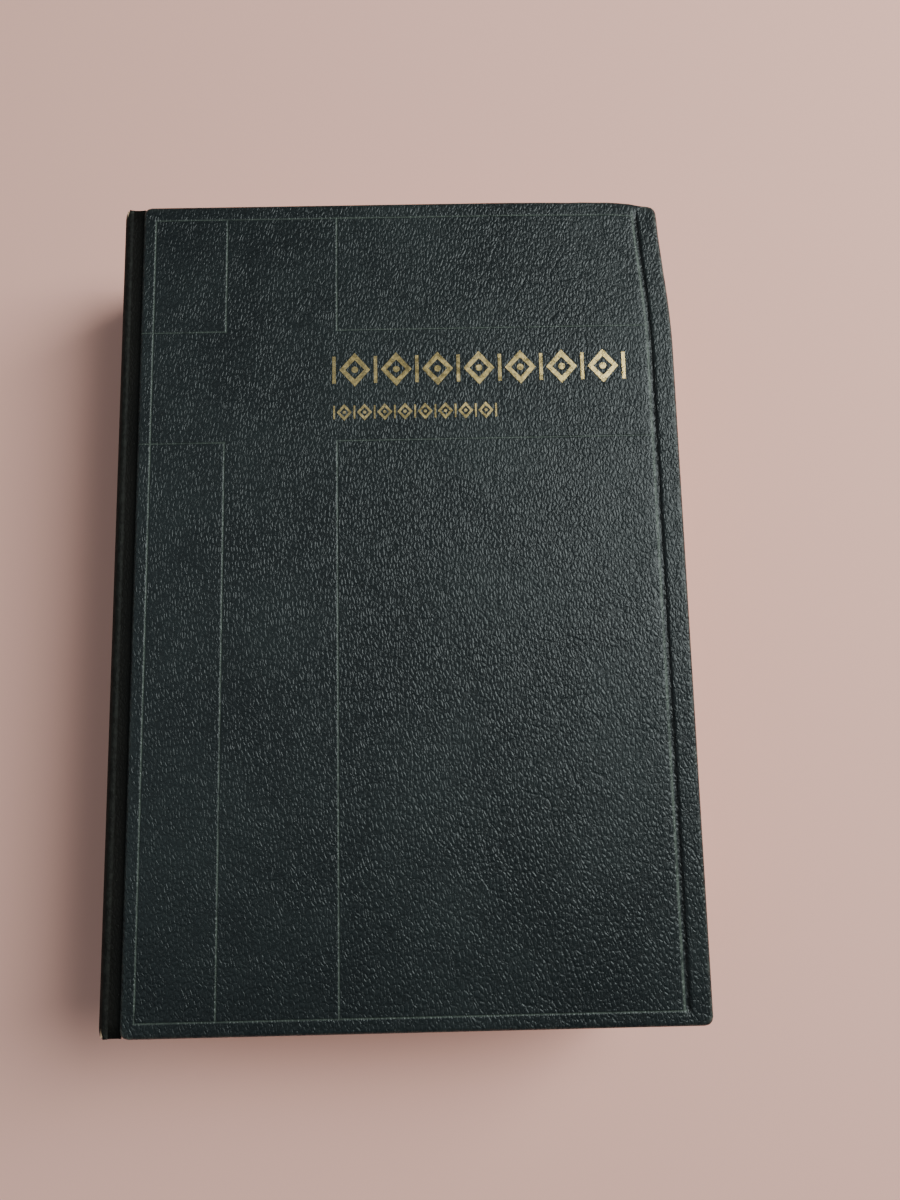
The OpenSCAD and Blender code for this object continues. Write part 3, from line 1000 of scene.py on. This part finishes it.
def wear_and_painted_light(obj, top_count, places, knocked=None):
    """Writes how rubbed each point of a cover is, with its painted highlight on the tool lines and painted
    shadow in the deep line.
    """
    rubbed = obj.data.attributes.new("rubbed", "FLOAT", "POINT")
    tooled = obj.data.attributes.new("tooled", "FLOAT", "POINT")
    groove_shadow = obj.data.attributes.new("groove_shadow", "FLOAT", "POINT")
    worn, pressed, deep = [], [], []
    for number, (x, y) in enumerate(places):
        upper = number < top_count
        near = 1 - smooth_step(edge_distance(x, y), 0.1 * MM, 1.5 * MM)
        end = 1 - smooth_step(min(math.dist((x, y), corner) for corner in corners), 2 * MM, 9 * MM)
        bruise = knocked(x, y) if knocked else 0.0
        thumbed = 0.45 * smooth_step(x, fore_x - 4 * MM, fore_x)
        worn.append(min(1.0, near * (0.35 + thumbed + 0.65 * end) + bruise * 0.5 * near))
        tooled_here = upper and knocked
        # Painted highlight: the lit left wall of the deep line, joined to the tool lines' painted highlight.
        lit_wall = fore_strip(x, y, -0.85 * MM, -0.60 * MM)
        pressed.append(max(tool_mark(x, y), lit_wall) if tooled_here else 0.0)
        # Painted shadow: the shaded right wall of the deep line.
        deep.append(fore_strip(x, y, 0.1 * MM, 0.7 * MM) if tooled_here else 0.0)
    rubbed.data.foreach_set("value", worn)
    tooled.data.foreach_set("value", pressed)
    groove_shadow.data.foreach_set("value", deep)


corners = [(x, y) for x in (board_x, fore_x) for y in (foot_y, head_y)]
x_marks = [(line[1], TOOL_WIDTH) for line in tool_lines if line[0] == "x"]
x_marks.append((border["right"], FORE_WIDTH * 0.6))
y_marks = [(line[1], TOOL_WIDTH) for line in tool_lines if line[0] == "y"]
front_xs = grid_lines(board_x, fore_x, x_marks, 2.1 * MM)
front_ys = grid_lines(foot_y, head_y, y_marks, 2.4 * MM)
front_places = [(x, y) for y in front_ys for x in front_xs]

front_cover = plate("front_leatherette", front_xs, front_ys, front_top, front_bottom, front_shape)
wear_and_painted_light(front_cover, len(front_places), front_places * 2, knock)
finish_piece(front_cover, cover_leather, "leatherette", "front_cover", "front_covering")

# The board inside is set in by the covering's thickness on every side.
inner_xs = spread(board_low.x, board_high.x, 6 * MM)
inner_ys = spread(board_low.y, board_high.y, 6 * MM)


def board_top(x, y):
    """The board's outer face, lower under the deep line by the fore-edge."""
    return board_high.z - 0.3 * MM - KNOCK_DOWN * knock(x, y) - FORE_DEPTH * (x > border["right"] - 4 * MM)


def board_bottom(x, y):
    """The board's inner face."""
    return board_low.z + 0.1 * MM - KNOCK_DOWN * knock(x, y)


def board_shape(x, y):
    """A place on the board, drawn in from the covering all round."""
    return x - KNOCK_IN * knock(x, y) - math.copysign(0.8 * MM, x - board_x - 60 * MM), y * 0.99


front_board = plate("front_grey_board", inner_xs, inner_ys, board_top, board_bottom, board_shape)
finish_piece(front_board, grey_board, "grey_board", "front_cover", "front_board", smooth=False)

# ---------------------------------------------------------------- back cover
# The same case side without tooling: the book lies on it, so its face is flat
# and only its edges and corners are rubbed.
repaint("back_board", grey_board)
back_xs = grid_lines(board_x, fore_x, [], 3.5 * MM)
back_ys = grid_lines(foot_y, head_y, [], 3.5 * MM)
back_places = [(x, y) for y in back_ys for x in back_xs]


def back_top(x, y):
    """The inner side of the back covering."""
    level = inner_face(back_high.z, x, y, -cloth - 0.03 * MM)
    return level - edge_drop(edge_distance(x, y), 0.8 * MM)


def back_bottom(x, y):
    """The outer face that the book lies on."""
    return back_low.z + edge_drop(edge_distance(x, y), EDGE_ROUND)


back_cover = plate("back_leatherette", back_xs, back_ys, back_top, back_bottom, round_corner)
wear_and_painted_light(back_cover, 0, back_places * 2)
finish_piece(back_cover, cover_leather, "leatherette", "back_cover", "back_covering")

# ---------------------------------------------------------------- pastedowns
# Endpaper glued inside each cover. It lies over the turn-ins, whose edge shows
# through as a step, and its spine side runs on over the joint to the text block.
fly_low, fly_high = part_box("front_flyleaf")


def pastedown(name, node, body, way):
    """One pastedown; way is +1 on the front cover and -1 on the back one."""
    low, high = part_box(node)
    face = low.z if way > 0 else high.z
    paper = 0.15 * MM
    knocked = knock if way > 0 else (lambda x, y: 0.0)
    window = cloth + TURN_IN
    xs = sorted(
        spread(low.x, high.x, 4 * MM)
        + [board_x + window, board_x + window + 0.3 * MM, fore_x - window, fore_x - window - 0.3 * MM]
    )
    ys = sorted(
        spread(low.y, high.y, 4 * MM)
        + [foot_y + window, foot_y + window + 0.3 * MM, head_y - window, head_y - window - 0.3 * MM]
    )

    def level(x, y):
        return inner_face(face, x, y, way * cloth * 0.9, 0.05 * MM) - KNOCK_DOWN * knocked(x, y)

    upper = (lambda x, y: level(x, y) + paper) if way > 0 else level
    lower = level if way > 0 else (lambda x, y: level(x, y) - paper)
    sheet = plate(name, xs, ys, upper, lower, lambda x, y: (x - KNOCK_IN * knocked(x, y), y))
    finish_piece(sheet, endpaper, "endpaper", body, node)


pastedown("front_pastedown_sheet", "front_pastedown", "front_cover", 1)
pastedown("back_pastedown_sheet", "back_pastedown", "back_cover", -1)


def sweep(name, profile, ys, squeeze=lambda y: 0.0, centre=None):
    """A closed profile in X and Z carried along Y; squeeze draws it towards a centre at the ends."""
    verts = []
    for y in ys:
        shrink = squeeze(y)
        for x, z in profile(y) if callable(profile) else profile:
            if centre:
                x += (centre[0] - x) * shrink
                z += (centre[1] - z) * shrink
            verts.append((x, y, z))
    count = len(verts) // len(ys)
    faces = [tuple(range(count)), tuple(range(len(verts) - 1, len(verts) - count - 1, -1))]
    for row in range(len(ys) - 1):
        for point in range(count):
            after = (point + 1) % count
            here, there = row * count, (row + 1) * count
            faces.append((here + after, here + point, there + point, there + after))
    return facing_out(mesh_object(name, verts, faces))


def strip_profile(line, thickness):
    """A thin closed profile of even thickness along a line of points."""
    left, right = [], []
    for place, (x, z) in enumerate(line):
        before = line[max(0, place - 1)]
        after = line[min(len(line) - 1, place + 1)]
        along = Vector((after[0] - before[0], after[1] - before[1])).normalized()
        left.append((x - along.y * thickness / 2, z + along.x * thickness / 2))
        right.append((x + along.y * thickness / 2, z - along.x * thickness / 2))
    return left + right[::-1]


def bezier(points, count):
    """Points along one smooth cubic curve."""
    a, b, c, d = (Vector(point) for point in points)
    curve = []
    for step in range(count + 1):
        t = step / count
        s = 1 - t
        curve.append(tuple(a * s**3 + b * (3 * s * s * t) + c * (3 * s * t * t) + d * t**3))
    return curve


def mirrored(line):
    """A profile carried from the front of the book to the back."""
    return [(x, 2 * middle_z - z) for x, z in line]


# The endpaper runs on over the joint as a strip that folds beside the gutter.
STRIP_PAPER = 0.12 * MM
STRIP_CLEAR = 0.08 * MM
FOLD_RISE = 0.09 * MM
FOLD_LENGTH = 0.14 * MM


def hinge_line(guard, way):
    """The strip's line: flat in the gutter, up a short fold and on under the cover."""
    low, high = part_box(guard)
    gutter = (high.z if way > 0 else low.z) + STRIP_CLEAR * way
    cover = (front_low.z if way > 0 else back_high.z) - STRIP_CLEAR * way
    fold = low.x - STRIP_PAPER
    bend_start = gutter + FOLD_RISE * way
    bend_end = bend_start + FOLD_LENGTH * way
    near = high.x - 0.1 * MM
    paste_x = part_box("front_pastedown")[0].x - 0.05 * MM
    step = MM * way
    line = [(near + (fold + 0.6 * MM - near) * place / 4, gutter) for place in range(4)]
    line += bezier(
        ((fold + 0.6 * MM, gutter), (fold + 0.15 * MM, gutter), (fold, gutter), (fold, bend_start)), 4
    )
    line += [(fold, bend_start + (bend_end - bend_start) * place / 12) for place in range(1, 13)]
    line += bezier(
        (
            (fold, bend_end),
            (fold, bend_end + 0.12 * step),
            (fold + 0.3 * MM, cover + 0.06 * step),
            (board_x + 0.5 * MM, cover),
        ),
        8,
    )[1:]
    lands = board_x + 0.5 * MM
    line += [(lands + (paste_x - lands) * place / 3, cover) for place in (1, 2, 3)]
    return line, Vector((fold, 0, bend_start)), Vector((fold, 0, bend_end))


for side, way in (("front", 1), ("back", -1)):
    line, bend_start, bend_end = hinge_line(f"{side}_gutter_guard", way)
    profile = strip_profile(line, STRIP_PAPER)
    hinge_paper = sweep(f"{side}_hinge_paper", profile, spread(fly_low.y, fly_high.y, 20 * MM))
    finish_piece(hinge_paper, endpaper, "endpaper", None)
    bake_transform(hinge_paper)

# ---------------------------------------------------------------- spine
# A card inlay under the same leatherette, gently round, with soft shoulders. The
# covering is folded over the card at head and tail and glued down inside.
# Painted shade: the spine takes the darker shaded ground colours.
spine_leather = leather_material("spine_leatherette", 0.5, (SHADED, SHADED_LIGHT), True, 0.12, 0.62, 0.5)
spine_card = kraft_material("spine_card", (0.47, 0.37, 0.25, 1), (0.34, 0.25, 0.15, 1))
repaint("spine_inlay", spine_card)
SHOULDER = 0.9 * MM
inlay_radius = spine_radius - cloth
inlay_inner = inlay_radius - 1.2 * MM
hem_radius = inlay_inner - cloth
END_ROUND = 3.0 * MM
END_DRAW = 0.8 * MM
ROUND_STEPS = 48
HOLLOW_STEPS = 16


def arc_edge(radius, z):
    """Where an arc about the spine's own centre line stands at a height."""
    return arc_x - math.sqrt(radius * radius - (z - middle_z) ** 2)


def spine_profile(y):
    """The covered spine's section; the hems at head and tail are thicker inside."""
    end = min(y - spine_low.y, spine_high.y - y)
    pull = END_DRAW * (1 - math.sqrt(1 - (1 - min(1.0, end / END_ROUND)) ** 2))
    outer = spine_radius - pull
    inner = hem_radius if end < TURN_IN else inlay_inner + 0.25 * MM
    top, bottom = spine_high.z - pull * 0.8, spine_low.z + pull * 0.8
    points = []
    for step in range(ROUND_STEPS + 1):
        z = bottom + (top - bottom) * step / ROUND_STEPS
        fall = max(edge_drop(top - z, SHOULDER), edge_drop(z - bottom, SHOULDER))
        points.append((arc_edge(outer, z) + fall, z))
    open_low, open_high = bottom + 1.6 * MM, top - 1.6 * MM
    inner_zs = [open_low + (open_high - open_low) * step / HOLLOW_STEPS for step in range(HOLLOW_STEPS + 1)]
    wrapped = [bottom + 0.05 * MM, open_low - 0.1 * MM, open_high + 0.1 * MM, top - 0.05 * MM]
    for z in sorted(inner_zs + wrapped, reverse=True):
        points.append((arc_edge(hem_radius if z in wrapped else inner, z), z))
    return points


spine_ys = sorted(
    {spine_low.y + d for d in edge_steps(END_ROUND, 8)}
    | {spine_high.y - d for d in edge_steps(END_ROUND, 8)}
    | set(spread(spine_low.y + TURN_IN, spine_high.y - TURN_IN, 3 * MM))
    | {spine_low.y + TURN_IN - 0.2 * MM, spine_high.y - TURN_IN + 0.2 * MM}
)
spine = sweep("spine_leatherette", spine_profile, spine_ys)
spine_rubbed = spine.data.attributes.new("rubbed", "FLOAT", "POINT")
spine_rubbed.data.foreach_set(
    "value",
    [
        max(
            0.35 * (1 - smooth_step(min(v.co.y - spine_low.y, spine_high.y - v.co.y), 0.3 * MM, 3 * MM)),
            0.12 * (1 - smooth_step(min(v.co.z - spine_low.z, spine_high.z - v.co.z), 0.1 * MM, 1.2 * MM)),
        )
        for v in spine.data.vertices
    ],
)
finish_piece(spine, spine_leather, "leatherette", "text_block", "spine_covering")

# ---------------------------------------------------------------- joint leather
# Between spine and board the covering has nothing under it. It is pressed down
# into a narrow groove.
# Painted shade: the joint takes the darker shaded ground colours.
joint_leather = leather_material("joint_leatherette", 0.2, (SHADED, SHADED_LIGHT), False, 0.12, 0.62, 0.5)
shoulder_x = arc_edge(spine_radius, spine_high.z)
groove_line = bezier(
    (
        (shoulder_x + 0.9 * MM, spine_high.z - 0.35 * MM),
        (shoulder_x + 1.9 * MM, spine_high.z - 0.9 * MM),
        (board_x - 1.9 * MM, spine_high.z - 1.1 * MM),
        (board_x + 0.15 * MM, spine_high.z - 0.7 * MM),
    ),
    24,
)
for name, body, line, node in (
    ("front_joint_leather", "front_cover", groove_line, "front_joint_cloth"),
    ("back_joint_leather", "back_cover", mirrored(groove_line), "back_joint_cloth"),
):
    strip_ys = spread(front_low.y + 0.1 * MM, front_high.y - 0.1 * MM, 4 * MM)
    strip = sweep(name, strip_profile(line, 0.4 * MM), strip_ys)
    finish_piece(strip, joint_leather, "leatherette", None, node)
    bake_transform(strip)

# ---------------------------------------------------------------- gold foil
# A generic ornament pressed with gold foil in the arm of the cross: a row of open
# lozenges with a dot in each and bars between, over a smaller row of the same.
foil_low, foil_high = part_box("cover_foil")
BAND_HEIGHT = 9.4 * MM
SMALL_HEIGHT = 4.6 * MM
SMALL_LENGTH = 43 * MM
BAND_COUNT = 7
GOLD_DULL = (0.58, 0.47, 0.17, 1)
GOLD_BRIGHT = (0.96, 0.80, 0.40, 1)
GOLD_WORN = (0.05, 0.055, 0.035, 1)
SMALL_COUNT = 8


def foil_material():
    """Satin gold, rubbed away in patches so that the leatherette shows."""
    material, tree, shader = new_material("gold_foil", 0.3, metallic=1.0)
    place = object_place(tree)
    gold = blend_colour(tree, noise_of(tree, place, 160, 4, 0.6), GOLD_DULL, GOLD_BRIGHT)
    across = add(tree, "ShaderNodeSeparateXYZ", {}, {"Vector": place}).outputs["X"]
    held = band(tree, across, foil_low.x, foil_high.x, 0.0, 0.10)
    grains = minus(tree, noise_of(tree, place, 1300, 5, 0.75), held)
    rub = band(tree, grains, 0.50, 0.60)
    colour = blend_colour(tree, product(tree, rub, 0.85), gold, GOLD_WORN)
    roughness = band(tree, noise_of(tree, place, 900, 4, 0.6), 0.3, 0.7, 0.22, 0.42)
    tree.links.new(colour, shader.inputs["Base Color"])
    tree.links.new(band(tree, rub, 0.0, 1.0, 1.0, 0.2), shader.inputs["Metallic"])
    tree.links.new(roughness, shader.inputs["Roughness"])
    bump(tree, shader, noise_of(tree, place, 1700, 4, 0.6), 0.6, 0.06 * MM)
    return material


def ornament_tree():
    """A row of lozenges and bars, cut as flat curves, filled and given a thickness."""
    tree, given, end = geometry_tree(
        "foil_row",
        [
            ("Count", "NodeSocketInt"),
            ("Step", "NodeSocketFloat"),
            ("Height", "NodeSocketFloat"),
            ("Stroke", "NodeSocketFloat"),
            ("Thickness", "NodeSocketFloat"),
            ("Start", "NodeSocketVector"),
            ("Material", "NodeSocketMaterial"),
        ],
    )

    def lozenge(width, height, sides=4):
        circle = add(tree, "GeometryNodeCurvePrimitiveCircle", {}, {"Resolution": sides, "Radius": 0.5})
        size = add(tree, "ShaderNodeCombineXYZ", {}, {"X": width, "Y": height, "Z": 1.0})
        return add(
            tree,
            "GeometryNodeTransform",
            {},
            {"Geometry": circle.outputs["Curve"], "Scale": size.outputs["Vector"]},
        ).outputs[0]

    def less(value, strokes):
        return minus(tree, value, product(tree, given["Stroke"], strokes))

    def row(curves, count, offset):
        joined = tree.nodes.new("GeometryNodeJoinGeometry")
        for curve in curves:
            tree.links.new(curve, joined.inputs[0])
        sheet = add(tree, "GeometryNodeFillCurve", {}, {"Curve": joined.outputs[0]}).outputs[0]
        lift = add(tree, "ShaderNodeCombineXYZ", {}, {"Z": given["Thickness"]})
        raised = add(
            tree,
            "GeometryNodeExtrudeMesh",
            {},
            {"Mesh": sheet, "Offset": lift.outputs["Vector"], "Offset Scale": 1.0, "Individual": False},
        ).outputs[0]
        under = add(tree, "GeometryNodeFlipFaces", {}, {"Mesh": sheet}).outputs[0]
        motif = tree.nodes.new("GeometryNodeJoinGeometry")
        tree.links.new(raised, motif.inputs[0])
        tree.links.new(under, motif.inputs[0])
        welded = add(
            tree, "GeometryNodeMergeByDistance", {}, {"Geometry": motif.outputs[0], "Distance": 1e-6}
        ).outputs[0]
        step = add(tree, "ShaderNodeCombineXYZ", {}, {"X": given["Step"]})
        start = add(tree, "ShaderNodeCombineXYZ", {}, {"X": product(tree, given["Step"], offset)})
        origin = add(
            tree,
            "ShaderNodeVectorMath",
            {"operation": "ADD"},
            {0: given["Start"], 1: start.outputs["Vector"]},
        )
        line = add(
            tree,
            "GeometryNodeMeshLine",
            {"mode": "OFFSET"},
            {"Count": count, "Start Location": origin.outputs[0], "Offset": step.outputs["Vector"]},
        )
        return add(
            tree,
            "GeometryNodeInstanceOnPoints",
            {},
            {"Points": line.outputs["Mesh"], "Instance": welded},
        ).outputs[0]

    wide, tall = less(given["Step"], 3.2), given["Height"]
    dot = product(tree, given["Stroke"], 2.0)
    lozenges = row(
        [
            lozenge(wide, tall),
            lozenge(less(wide, 3.5), less(tall, 4.5)),
            lozenge(dot, dot, 12),
        ],
        given["Count"],
        0.5,
    )
    bar = add(
        tree,
        "GeometryNodeCurvePrimitiveQuadrilateral",
        {},
        {"Width": given["Stroke"], "Height": product(tree, given["Height"], 0.8)},
    ).outputs["Curve"]
    bars = row([bar], total(tree, given["Count"], 1.0), 0.0)
    both = tree.nodes.new("GeometryNodeJoinGeometry")
    tree.links.new(lozenges, both.inputs[0])
    tree.links.new(bars, both.inputs[0])
    realized(tree, end, both.outputs[0], given["Material"])
    return tree


gold_foil = foil_material()
foil_row = ornament_tree()
foil_x = foil_low.x + BAND_HEIGHT * 0.065
foil_z = front_high.z - 0.1 * MM
band_length = foil_high.x - foil_low.x - BAND_HEIGHT * 0.13
for name, count, length, height, y in (
    ("title_ornament", BAND_COUNT, band_length, BAND_HEIGHT, foil_high.y - BAND_HEIGHT / 2),
    ("small_ornament", SMALL_COUNT, SMALL_LENGTH, SMALL_HEIGHT, foil_low.y + SMALL_HEIGHT / 2),
):
    foil = made_by(
        name,
        foil_row,
        Count=count,
        Step=length / count,
        Height=height,
        Stroke=height * 0.095,
        Thickness=0.09 * MM,
        Start=(foil_x, y, foil_z),
        Material=gold_foil,
    )
    finish_piece(facing_out(foil), gold_foil, "gold_foil", "front_cover", "cover_foil", smooth=False)

# ---------------------------------------------------------------- floor, light and camera
# The book lies on a plain pale floor, in soft light from a broad window at its
# fore-edge side, and is seen from above the tail with a little tilt.
floor_material, tree, shader = new_material("pale_floor", 0.9, specular=0.15)
shader.inputs["Base Color"].default_value = (0.82, 0.50, 0.42, 1)
FLOOR_HALF = 3.0
floor_corners = [(a * FLOOR_HALF, b * FLOOR_HALF, 0) for a, b in ((-1, -1), (1, -1), (1, 1), (-1, 1))]
floor = mesh_object("floor", floor_corners, [(0, 1, 2, 3)])
floor.data.materials.append(floor_material)


def area_light(name, place, target, size, power, colour):
    """A soft rectangular light aimed at a point."""
    light = bpy.data.lights.new(name, "AREA")
    light.shape = "RECTANGLE"
    light.size, light.size_y = size
    light.energy = power
    light.color = colour
    lamp = bpy.data.objects.new(name, light)
    lamp.location = place
    lamp.rotation_euler = (Vector(target) - Vector(place)).to_track_quat("-Z", "Y").to_euler()
    bpy.context.scene.collection.objects.link(lamp)


BOOK_CENTRE = (0.0, 0.0, 0.03)
area_light("window", (0.74, 0.30, 0.80), BOOK_CENTRE, (0.6, 0.8), 19.0, (1.0, 0.97, 0.93))
area_light("room", (-0.8, 0.1, 0.9), BOOK_CENTRE, (1.2, 1.2), 2.6, (0.95, 0.97, 1.0))
world = bpy.data.worlds.new("soft_room")
bpy.context.scene.world = world
world.use_nodes = True
background = world.node_tree.nodes["Background"]
background.inputs["Color"].default_value = (0.85, 0.88, 0.92, 1)
background.inputs["Strength"].default_value = 0.15

# The camera stands over the cover, this far from its spine side, its tail and its face.
VIEW_ACROSS = 79.6 * MM
VIEW_ALONG = 71.4 * MM
VIEW_HEIGHT = 229.1 * MM
VIEW_TURNS = (8.41, -0.36, -1.22)
camera_data = bpy.data.cameras.new("camera")
camera_data.sensor_fit = "VERTICAL"
camera_data.sensor_height = 36
camera_data.lens = 27
camera = bpy.data.objects.new("camera", camera_data)
camera.location = (board_x + VIEW_ACROSS, foot_y + VIEW_ALONG, front_high.z + VIEW_HEIGHT)
camera.rotation_euler = [math.radians(turn) for turn in VIEW_TURNS]
bpy.context.scene.collection.objects.link(camera)
bpy.context.scene.camera = camera
